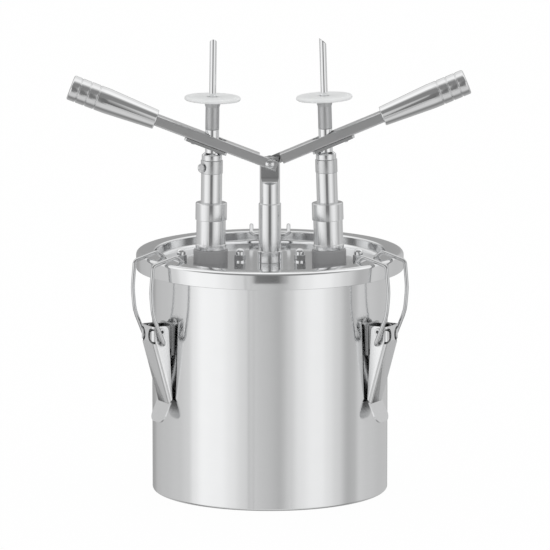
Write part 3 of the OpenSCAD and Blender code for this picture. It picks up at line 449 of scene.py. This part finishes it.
sheet_t, spun_segments = 1.2, 192
container_r, container_top, foot_edge_r = 120, 240.6, 2.5
bead_from, bead_to, bead_r = 129.3, 132.6, 1.6
rim_z, deck_z, recess_r, skirt_r, skirt_h = 245.8, 234.2, 117, 136, 17.6
rim_edge_r, recess_edge_r, recess_fillet_r = 4, 1.6, 3
pump_x, pump_hole_r, stud_hole_r = 60.275, 15.5, 5.3

turned_for("container", [
    (0, 0, 0), (container_r, 0, foot_edge_r), (container_r, container_top - sheet_t, 0.8),
    (bead_from, container_top - sheet_t, 0.4), (bead_from, container_top - 2 * bead_r, bead_r),
    (bead_to, container_top - 2 * bead_r, bead_r), (bead_to, container_top, bead_r),
    (container_r - sheet_t, container_top, 1.6), (container_r - sheet_t, sheet_t, foot_edge_r - sheet_t),
    (0, sheet_t, 0)], None, "container", container_steel, "spun", spun_segments)

lid = lathe("lid_spun", [
    (0, deck_z - sheet_t, 0), (recess_r + sheet_t, deck_z - sheet_t, recess_fillet_r + sheet_t),
    (recess_r + sheet_t, rim_z - sheet_t, recess_edge_r - sheet_t),
    (skirt_r - sheet_t, rim_z - sheet_t, rim_edge_r - sheet_t), (skirt_r - sheet_t, rim_z - skirt_h, 0.4),
    (skirt_r, rim_z - skirt_h, 0.4), (skirt_r, rim_z, rim_edge_r), (recess_r, rim_z, recess_edge_r),
    (recess_r, deck_z, recess_fillet_r), (0, deck_z, 0)], segments=spun_segments)
lid_holes = [round_bar(radius, 10, shift(x, 0, deck_z - sheet_t / 2))
             for x, radius in ((-pump_x, pump_hole_r), (0, stud_hole_r), (pump_x, pump_hole_r))]
stand_for(carve(lid, lid_holes), "lid", "container", lid_steel)


# Centre post with its tang, and the pivot pin. run is the play between a bore and what goes through.

run = 0.05
pivot_z, pin_r, half_pin, head_r, head_h = 335.5, 3, 9.05, 4.6, 2.5
stud_r, stud_l = 5, 16
post_collar_r, post_collar_h = 13.15, 11.4
post_low_r, post_step_h, post_high_r, post_h = 11.4, 59.8, 10.25, 107.3
tang_half_t, tang_flat_h, tang_runout_r, cut_l = 5, 87.8, 8, 60

post = lathe("centre_post_turned", [
    (0, -stud_l, 0), (stud_r, -stud_l, 0.5), (stud_r, 0, 0), (post_collar_r, 0, 0.3),
    (post_collar_r, post_collar_h, 0.7), (post_low_r, post_collar_h, 0.3), (post_low_r, post_step_h, 0.6),
    (post_high_r, post_step_h, 0.3), (post_high_r, post_h, 0.8), (0, post_h, 0)], shift(0, 0, deck_z))
tang_cutters = [round_bar(pin_r + run, cut_l, shift(0, 0, pivot_z) @ turn(90, "X"))]
for y in (-1, 1):
    flat = shift(0, y * (tang_half_t + 10), deck_z + tang_flat_h + cut_l / 2)
    runout = shift(0, y * (tang_half_t + tang_runout_r), deck_z + tang_flat_h) @ turn(90, "Y")
    tang_cutters.append(block((cut_l, 20, cut_l), flat))
    tang_cutters.append(round_bar(tang_runout_r, cut_l, runout))
stand_for(carve(post, tang_cutters), "centre_post", "container", turned_steel)

turned_for("pivot_pin", [
    (0, -half_pin - head_h, 0), (2.4, -half_pin - 2.3, 3), (head_r, -half_pin - 0.9, 1.2),
    (head_r, -half_pin, 0.3), (pin_r, -half_pin, 0.2), (pin_r, half_pin, 0.2), (head_r, half_pin, 0.3),
    (head_r, half_pin + 0.9, 1.2), (2.4, half_pin + 2.3, 3), (1.2, half_pin + head_h, 0.2),
    (0.9, half_pin + 1.6, 0.3), (0, half_pin + 1.4, 0)],
    shift(0, 0, pivot_z) @ turn(90, "X"), "container", turned_steel, segments=48)


# Pumps, with heights above the deck along each pump's lean

lean = {"left": 0.8, "right": 1.75}
bore_r, cylinder_r, cylinder_up, cylinder_down = 13, 14.9, 53, 214.2
shoulder_r, shoulder_foot, shoulder_top = 18, -6.4, -3.4
base_ring_r, base_ring_h, ring_bead_r, ring_bead_top = 17.5, 12.5, 15.5, 18
guide_r, guide_at, guide_top, guide_sleeve_r, guide_foot = 15.95, 43, 60.8, 12.9, 30
barrel_r = 10.7

standing = (
    ("base_ring", materials["grey_plastic"], [
        (cylinder_r + run, -sheet_t / 2, 0), (base_ring_r, -sheet_t / 2, 0),
        (base_ring_r, base_ring_h, 0.7), (cylinder_r + run, base_ring_h, 0.3)]),
    ("pump_cylinder", turned_steel, [
        (bore_r, -cylinder_down, 0.3), (cylinder_r, -cylinder_down, 0.3), (cylinder_r, shoulder_foot, 0),
        (shoulder_r, shoulder_foot, 0.2), (shoulder_r, shoulder_top, 0.2), (cylinder_r, shoulder_top, 0),
        (cylinder_r, base_ring_h - 0.2, 0.3), (ring_bead_r, base_ring_h + 0.1, 0.5),
        (ring_bead_r, ring_bead_top, 0.9), (cylinder_r, ring_bead_top + 0.4, 0.4),
        (cylinder_r, cylinder_up, 0.2), (bore_r, cylinder_up, 0.2)]),
    ("guide_collar", turned_steel, [
        (cylinder_r + run, guide_at, 0.1), (guide_r, guide_at, 0.5), (guide_r, guide_top, 0.9),
        (barrel_r + run, guide_top, 0.9), (barrel_r + run, guide_foot, 0.2),
        (guide_sleeve_r, guide_foot, 0.2), (guide_sleeve_r, cylinder_up + run, 0),
        (cylinder_r + run, cylinder_up + run, 0)]),
)


# Plungers, with heights from the centre of the domed cap's crown. crown is its height up the pump.

crown = {"left": 99.971, "right": 101.043}
crown_r, cap_r, cap_edge_h, cap_top = 14, 10.3, 9.4, 12.1
barrel_foot, ring_foot, ring_top, dose_ring_r = -79.25, -9.25, 4.25, 11.2
neck_r, neck_top = 9, 7.25
rod_r, rod_bore_r, rod_foot, rod_shoulder, rod_up = 7, 3.4, -256.1, -242.1, 35.7
stub_r, stub_top = 4.9, 49.5
nut_waist_h, nut_rim_r, nut_rim_h, nut_seat_h = 58.5, 8.2, 62.2, 52.6
needle_r, needle_bore_r, needle_flange_h, needle_tip = 3.5, 2.5, 52.5, 135
needle_cut_h, needle_cut_angle = 127.8, 40
disc_at, disc_spigot_r, disc_spigot_top = 65.2, 5.4, 66.7
disc_r, disc_hole_r, disc_t, disc_edge_r = 28.6, 5.6, 4.1, 2.05
screw_z, screw_tip, screw_r, screw_head_at, screw_head_r = -3.05, 9.05, 1.5, 12.1, 4.4
screw_end, screw_dish = 14.9, 14.3
knurl_depth, knurled_past = 0.3, 3.9
disc_tilt = {"left": 0.5, "right": 0.7}
thumb_angle = {"left": 218, "right": 90}
needle_cut_faces = {"left": 270, "right": 180}
crown_rise = [(crown_r * math.cos(math.radians(slope)), crown_r * math.sin(math.radians(slope)), 0)
              for slope in range(46, 60, 3)]

plunging = (
    ("barrel", turned_steel, [
        (rod_r + run, barrel_foot, 0.3), (barrel_r, barrel_foot, 0.6), (barrel_r, ring_foot, 0.2),
        (neck_r, ring_foot, 0), (neck_r, neck_top, 0.2), (rod_r + run, neck_top, 0.2)]),
    ("dose_ring", ring_steel, [
        (neck_r + run, ring_foot, 0.2), (dose_ring_r, ring_foot, 0.5), (dose_ring_r, ring_top, 0.6),
        (neck_r + run, ring_top, 0.2)]),
    ("domed_cap", turned_steel, [
        (neck_r + run, ring_top + run, 0.2), (cap_r, ring_top + run, 0.3), (cap_r, cap_edge_h, 0.4),
        *crown_rise, (rod_r + run, cap_top, 0.3), (rod_r + run, neck_top + run, 0),
        (neck_r + run, neck_top + run, 0)]),
    ("piston_rod", materials["polished_steel"], [
        (rod_bore_r, rod_foot, 0.2), (stub_r, rod_foot, 0.3), (stub_r, rod_shoulder, 0),
        (rod_r, rod_shoulder, 0.3), (rod_r, rod_up, 0.4), (stub_r, rod_up, 0), (stub_r, stub_top, 0.2),
        (rod_bore_r, stub_top, 0.2)]),
    ("needle_nut", nut_steel, [
        (stub_r + run, rod_up + run, 0.2), (rod_r + run, rod_up + run, 0.6),
        (rod_r + run, nut_waist_h, 1.5), (nut_rim_r, nut_rim_h, 1), (nut_rim_r, disc_at, 0.4),
        (disc_spigot_r, disc_at, 0.1), (disc_spigot_r, disc_spigot_top, 0.3),
        (needle_r + run, disc_spigot_top, 0.2), (needle_r + run, nut_seat_h, 0),
        (stub_r + run, nut_seat_h, 0)]),
)
needle_profile = [
    (needle_bore_r, stub_top, 0), (stub_r, stub_top, 0.2), (stub_r, needle_flange_h, 0.2),
    (needle_r, needle_flange_h, 0), (needle_r, needle_tip, 0), (needle_bore_r, needle_tip, 0)]
disc_profile = [
    (disc_hole_r, 0, 0.3), (disc_r, 0, disc_edge_r), (disc_r, disc_t, disc_edge_r),
    (disc_hole_r, disc_t, 0.8)]
thumb_screw_profile = [
    (0, screw_tip, 0), (screw_r, screw_tip, 0.2), (screw_r, screw_head_at, 0),
    (screw_head_r, screw_head_at, 0.4), (screw_head_r, screw_end, 0.4), (3.3, screw_end, 0.3),
    (2.6, screw_dish, 0.3), (0, screw_dish, 0)]


def knurl(k, radius):
    """Moves the thumb screw's rim in at every second pair of vertices."""
    return -knurl_depth if radius > knurled_past and (k // 2) % 2 else 0


def pump_frame(side):
    """Where a pump leaves the deck, leaning inward."""
    return shift(sides[side] * pump_x, 0, deck_z) @ turn(-sides[side] * lean[side], "Y")


for side, sign in sides.items():
    pump = pump_frame(side)
    plunger = pump @ shift(0, 0, crown[side])
    body = f"{side}_plunger"
    for kind, material, profile in standing:
        turned_for(f"{side}_{kind}", profile, pump, "container", material)
    for kind, material, profile in plunging:
        turned_for(f"{side}_{kind}", profile, plunger, body, material)

    needle = lathe(f"{side}_needle_turned", needle_profile, plunger, segments=64)
    cut = plunger @ turn(needle_cut_faces[side], "Z") @ shift(needle_r, 0, needle_cut_h)
    cutter = block((60, 30, 30), cut @ turn(-needle_cut_angle, "Y") @ shift(0, 0, 15))
    stand_for(carve(needle, [cutter]), f"{side}_needle", body, materials["polished_steel"])

    # The disc rests on the nut's rim by one edge
    disc_lift = nut_rim_r * math.sin(math.radians(disc_tilt[side]))
    disc_place = plunger @ shift(0, 0, disc_at + disc_lift) @ turn(-sign * disc_tilt[side], "Y")
    turned_for(f"{side}_depth_disc", disc_profile, disc_place, body, materials["white_plastic"],
               "moulded", segments=128)

    screw_place = plunger @ shift(0, 0, screw_z) @ turn(thumb_angle[side], "Z") @ turn(90, "Y")
    turned_for(f"{side}_thumb_screw", thumb_screw_profile, screw_place, f"{side}_thumb_screw",
               turned_steel, "knurled", wave=knurl)


# Return springs, which the barrels press down as the levers go down; here each only gets its own copy of
# its mesh

for side in sides:
    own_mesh(nodes[f"{side}_return_spring"])


# Levers: the grips and rivets are turned, the tubes and plates are the CAD's own

rest_angle = {"left": 21, "right": 22.7}
grip_end, grip_r, grip_edge_r, grip_straight_l, grip_l, grip_small_r = 216, 12.9, 1.7, 39.5, 92.5, 10
spigot_r, spigot_end = 4, 110.5
groove_places, groove_half, groove_depth = (9, 19, 29), 0.7, 0.8
rivet_at, plate_under = 80.03, 8.25
rivet_r, rivet_foot_r, rivet_head_r, rivet_head_h = 2.45, 3.4, 2.8, 2.1
rivet_foot_from, rivet_foot_to = -5.25, -4.25

grip_profile = [(0, 0, 0), (grip_r, 0, grip_edge_r)]
for groove in groove_places:
    grip_profile += [
        (grip_r, groove - groove_half, 0.5), (grip_r - groove_depth, groove - groove_half / 2, 0.2),
        (grip_r - groove_depth, groove + groove_half / 2, 0.2), (grip_r, groove + groove_half, 0.5)]
grip_profile += [(grip_r, grip_straight_l, 60), (grip_small_r, grip_l, 1), (spigot_r, grip_l, 0),
                 (spigot_r, spigot_end, 0.3), (0, spigot_end, 0)]
rivet_profile = [
    (0, rivet_foot_from, 0), (rivet_foot_r, rivet_foot_from, 0.2), (rivet_foot_r, rivet_foot_to, 0.2),
    (rivet_r, rivet_foot_to, 0), (rivet_r, 0, 0), (rivet_head_r, 0, 0.1), (2.7, 1, 1), (1.5, 2, 1.2),
    (0, rivet_head_h, 0)]

for side, sign in sides.items():
    body = f"{side}_lever"
    lever = shift(0, 0, pivot_z) @ turn(180 if sign < 0 else 0, "Z") @ turn(-rest_angle[side], "Y")
    turned_for(f"{side}_grip", grip_profile, lever @ shift(grip_end, 0, 0) @ turn(-90, "Y"), body,
               handle_steel)
    turned_for(f"{side}_plate_rivet", rivet_profile,
               lever @ shift(rivet_at, 0, -plate_under) @ turn(180, "X"), body, turned_steel,
               "domed", segments=48)
    along_tube = (0, math.radians(sign * rest_angle[side]), 0)
    dress(nodes[f"{side}_lever"], brushed_steel(f"{side}_lever_steel", steel_lever, drawn_marks,
                                                along_tube, low=0.24, high=0.36, depth=0.16))


# Latches: the bails are bent from wire, and a curved slot in each face relieves the bends beside it

latch_angles = {"front_left": 210, "front_right": 330, "rear": 90}
hinge_r, hinge_z, pivot_end = 133.3, 163, 11.2
bail_wire_r, half_bail = 2, 19.2
bail_leg = [(hinge_r, hinge_z, 4), (146.4, 194.2, 40), (148.6, 217.2, 60), (146, 244.6, 5),
            (119.4, 251.6, 5), (109.4, 242.8, 6)]
face_r, face_bend_z, face_slope = 143, 168, 0.3
latch_t, bend_y = 1.5, 9.5
relief_z, relief_r, relief_half_w, relief_reaches = 171.5, 6.8, 1.4, (5.4, 3.6)
latch_sharp = 18


def relief_cutter(side_y, reach, place):
    """Cutter for an arc from one end of a bend into the latch's face, by its reach, and back."""
    arc = []
    for degrees in range(-15, 196, 15):
        z = relief_z + relief_r * math.cos(math.radians(degrees))
        y = side_y * (bend_y - reach * math.sin(math.radians(degrees)))
        arc.append((face_r - latch_t / 2 - face_slope * max(0, face_bend_z - z), y, z, 0))
    return wire("cutter", arc, relief_half_w, place, facets=12)


for name, angle in latch_angles.items():
    place = turn(angle, "Z")
    pressed = bpy.data.objects.new(f"{name}_latch_pressed", nodes[f"{name}_latch"].data.copy())
    bpy.context.scene.collection.objects.link(pressed)
    pressed.matrix_world = nodes[f"{name}_latch"].matrix_world
    cutters = [relief_cutter(side_y, reach, place) for side_y in (-1, 1) for reach in relief_reaches]
    stand_for(carve(pressed, cutters, latch_sharp), f"{name}_latch", f"{name}_latch", latch_steel)
    route = [(hinge_r, pivot_end, hinge_z, 0)] + [(x, half_bail, z, bend) for x, z, bend in bail_leg]
    route += [(x, -y, z, bend) for x, y, z, bend in reversed(route)]
    stand_for(wire(f"{name}_bail_bent", route, bail_wire_r, place), f"{name}_bail", f"{name}_bail",
              bail_steel)
# The brackets get painted shade in their folds and inner sides
dress(nodes["latch_brackets"], bracket_steel)


# Camera, at the photograph's place

camera_data = bpy.data.cameras.new("camera")
camera = bpy.data.objects.new("camera", camera_data)
bpy.context.scene.collection.objects.link(camera)
bpy.context.scene.camera = camera
camera_data.lens = 386
camera_data.sensor_width = 36
camera_data.clip_end = 50
aim = Vector((5.2 * MM, 0, 220 * MM))
elevation = math.radians(9.96)
distance = 6.0
camera.location = aim + distance * Vector((0, -math.cos(elevation), math.sin(elevation)))
camera.rotation_euler = (math.pi / 2 - elevation, 0, 0)


# Studio: a pale floor, and a world whose brightness goes round like panels and flags round a table

# Direction round the table in degrees, 0 towards the camera and positive to its right, and the level
studio_panels = [
    (-180, 0.36), (-160, 0.38), (-144, 0.53), (-128, 0.57), (-102, 0.63), (-89, 0.72), (-81, 0.92),
    (-70, 1.06), (-50, 1.04), (-38, 0.93), (-27, 0.78), (-22, 0.74), (-21, 0.55), (-19, 0.68),
    (-16, 0.62), (-11, 0.2), (6, 0.17), (13, 0.4), (18, 0.66), (30, 0.9), (42, 1.0), (52, 0.98),
    (60, 0.86), (70, 0.72), (84, 0.49), (92, 0.52), (100, 0.67), (114, 0.62), (140, 0.56), (162, 0.55),
    (172, 0.45), (180, 0.36)]

# Direction over the table in degrees, 0 towards the camera and 90 straight up, and the light's level
studio_arch = [
    (-180, 0.6), (-150, 0.5), (-125, 0.44), (-100, 0.3), (-84, 0.24), (-70, 0.5), (-60, 0.72),
    (-32, 0.7), (-20, 0.4), (4, 0.26), (58, 0.26), (72, 0.6), (84, 1.1), (106, 1.06), (130, 0.85),
    (160, 0.93), (180, 0.93)]

# Angles above and below level, in degrees, over which the arch takes over from the panels
arch_above, arch_below = (13, 26), (-18, -27)


def half_grey(level):
    """A ramp's colour for a level of light, halved because a ramp's colours stop at 1."""
    return (level / 2, level / 2, level / 2, 1)


def studio_world():
    """A white world, in which only the reflections see the panels and the arch."""
    world = bpy.data.worlds.new("studio")
    bpy.context.scene.world = world
    world.use_nodes = True
    world.cycles.sampling_method = "NONE"
    world.node_tree.nodes.clear()
    tree = Nodes(world.node_tree)
    place = tree.add("ShaderNodeTexCoord")
    direction = tree.add("ShaderNodeSeparateXYZ", Vector=place.outputs["Generated"]).outputs
    front = tree.calc("MULTIPLY", direction["Y"], -1.0)

    def levels_by_angle(across, table):
        """Light whose level follows the direction's angle from the camera's side, by a table."""
        share = tree.span(tree.calc("ARCTAN2", across, front), 0.0, 1.0, -math.pi, math.pi)
        ramp = tree.add("ShaderNodeValToRGB")
        tree.put(ramp, 0, share)
        ramp.color_ramp.interpolation = "EASE"
        stops = ramp.color_ramp.elements
        stops[0].position, stops[1].position = 0, 1
        stops[0].color = half_grey(table[0][1])
        stops[1].color = half_grey(table[-1][1])
        for degrees, level in table[1:-1]:
            stops.new((degrees + 180) / 360).color = half_grey(level)
        return tree.add("ShaderNodeBackground", Color=ramp.outputs[0], Strength=2.0).outputs[0]

    def past(degrees):
        """0 to 1 as the direction's height goes from one angle to the other."""
        low, high = (math.sin(math.radians(angle)) for angle in degrees)
        return tree.span(direction["Z"], 0.0, 1.0, low, high, easing="SMOOTHSTEP")

    studio = tree.mixed_light(tree.calc("ADD", past(arch_above), past(arch_below)),
                              levels_by_angle(direction["X"], studio_panels),
                              levels_by_angle(direction["Z"], studio_arch))
    white = tree.add("ShaderNodeBackground", Color=(1, 1, 1, 1)).outputs[0]
    path = tree.add("ShaderNodeLightPath").outputs
    lit = tree.mixed_light(path["Is Glossy Ray"], white, studio)
    tree.add("ShaderNodeOutputWorld", Surface=tree.mixed_light(path["Is Camera Ray"], lit, white))


def studio_floor():
    """Floor that the camera sees as almost even, and that the reflections don't see."""
    half, seen_glow = 6.0, 0.97
    mesh = bpy.data.meshes.new("floor")
    corners = [(-half, -half, 0), (half, -half, 0), (half, half, 0), (-half, half, 0)]
    mesh.from_pydata(corners, [], [(0, 1, 2, 3)])
    floor = bpy.data.objects.new("floor", mesh)
    bpy.context.scene.collection.objects.link(floor)
    s = Shader("floor")
    s.finish(Base_Color=(0.93, 0.93, 0.93, 1.0), Roughness=0.6)
    path = s.add("ShaderNodeLightPath")
    glow = s.add("ShaderNodeEmission", Color=(1, 1, 1, 1), Strength=1.0)
    share = s.calc("MULTIPLY", path.outputs["Is Camera Ray"], seen_glow)
    s.show(s.mixed_light(share, s.bsdf.outputs[0], glow.outputs[0]))
    dress(floor, s.material)
    floor.visible_glossy = False


def floor_card():
    """Pale card on the floor before the machine, which only the reflections see.

    The wall looks down on it, and what stands above the lid looks past it to the darker studio. Each
    row of the card lies where a strip up the wall mirrors the floor, so the strip shows its level.
    """
    # Angle round the wall in degrees, and the card's level there
    levels = [(-7.5, 0.64), (-6, 0.62), (-4, 0.6), (-2, 0.58), (0, 0.56), (2, 0.53), (4, 0.5), (5, 0.5),
              (6, 0.53), (8, 0.61), (10, 0.69)]
    reaches = (0, 0.1, 0.3, 0.6, 0.95, 1.3)
    start_r, card_z = (container_r + 1) * MM, 1.5 * MM
    bm = bmesh.new()
    level_layer = bm.verts.layers.float.new("level")
    rows = []
    for degrees, level in levels:
        angle = math.radians(degrees)
        row = []
        for reach in reaches:
            x = start_r * math.sin(angle) + reach * math.sin(2 * angle)
            y = -start_r * math.cos(angle) - reach * math.cos(2 * angle)
            row.append(bm.verts.new((x, y, card_z)))
            row[-1][level_layer] = level
        rows.append(row)
    for first, second in zip(rows, rows[1:]):
        for corners in zip(first, second, second[1:], first[1:]):
            bm.faces.new(corners)
    card = as_object(bm, "floor_card")
    s = Shader("floor_card")
    stored = s.add("ShaderNodeAttribute")
    stored.attribute_name = "level"
    glow = s.add("ShaderNodeEmission", Color=(1, 1, 1, 1), Strength=stored.outputs["Fac"])
    s.show(glow.outputs[0])
    dress(card, s.material)
    card.visible_camera = False
    card.visible_diffuse = False
    card.visible_shadow = False
    card.visible_transmission = False


studio_world()
studio_floor()
floor_card()
bpy.context.scene.view_settings.view_transform = "Standard"

bpy.context.view_layer.update()
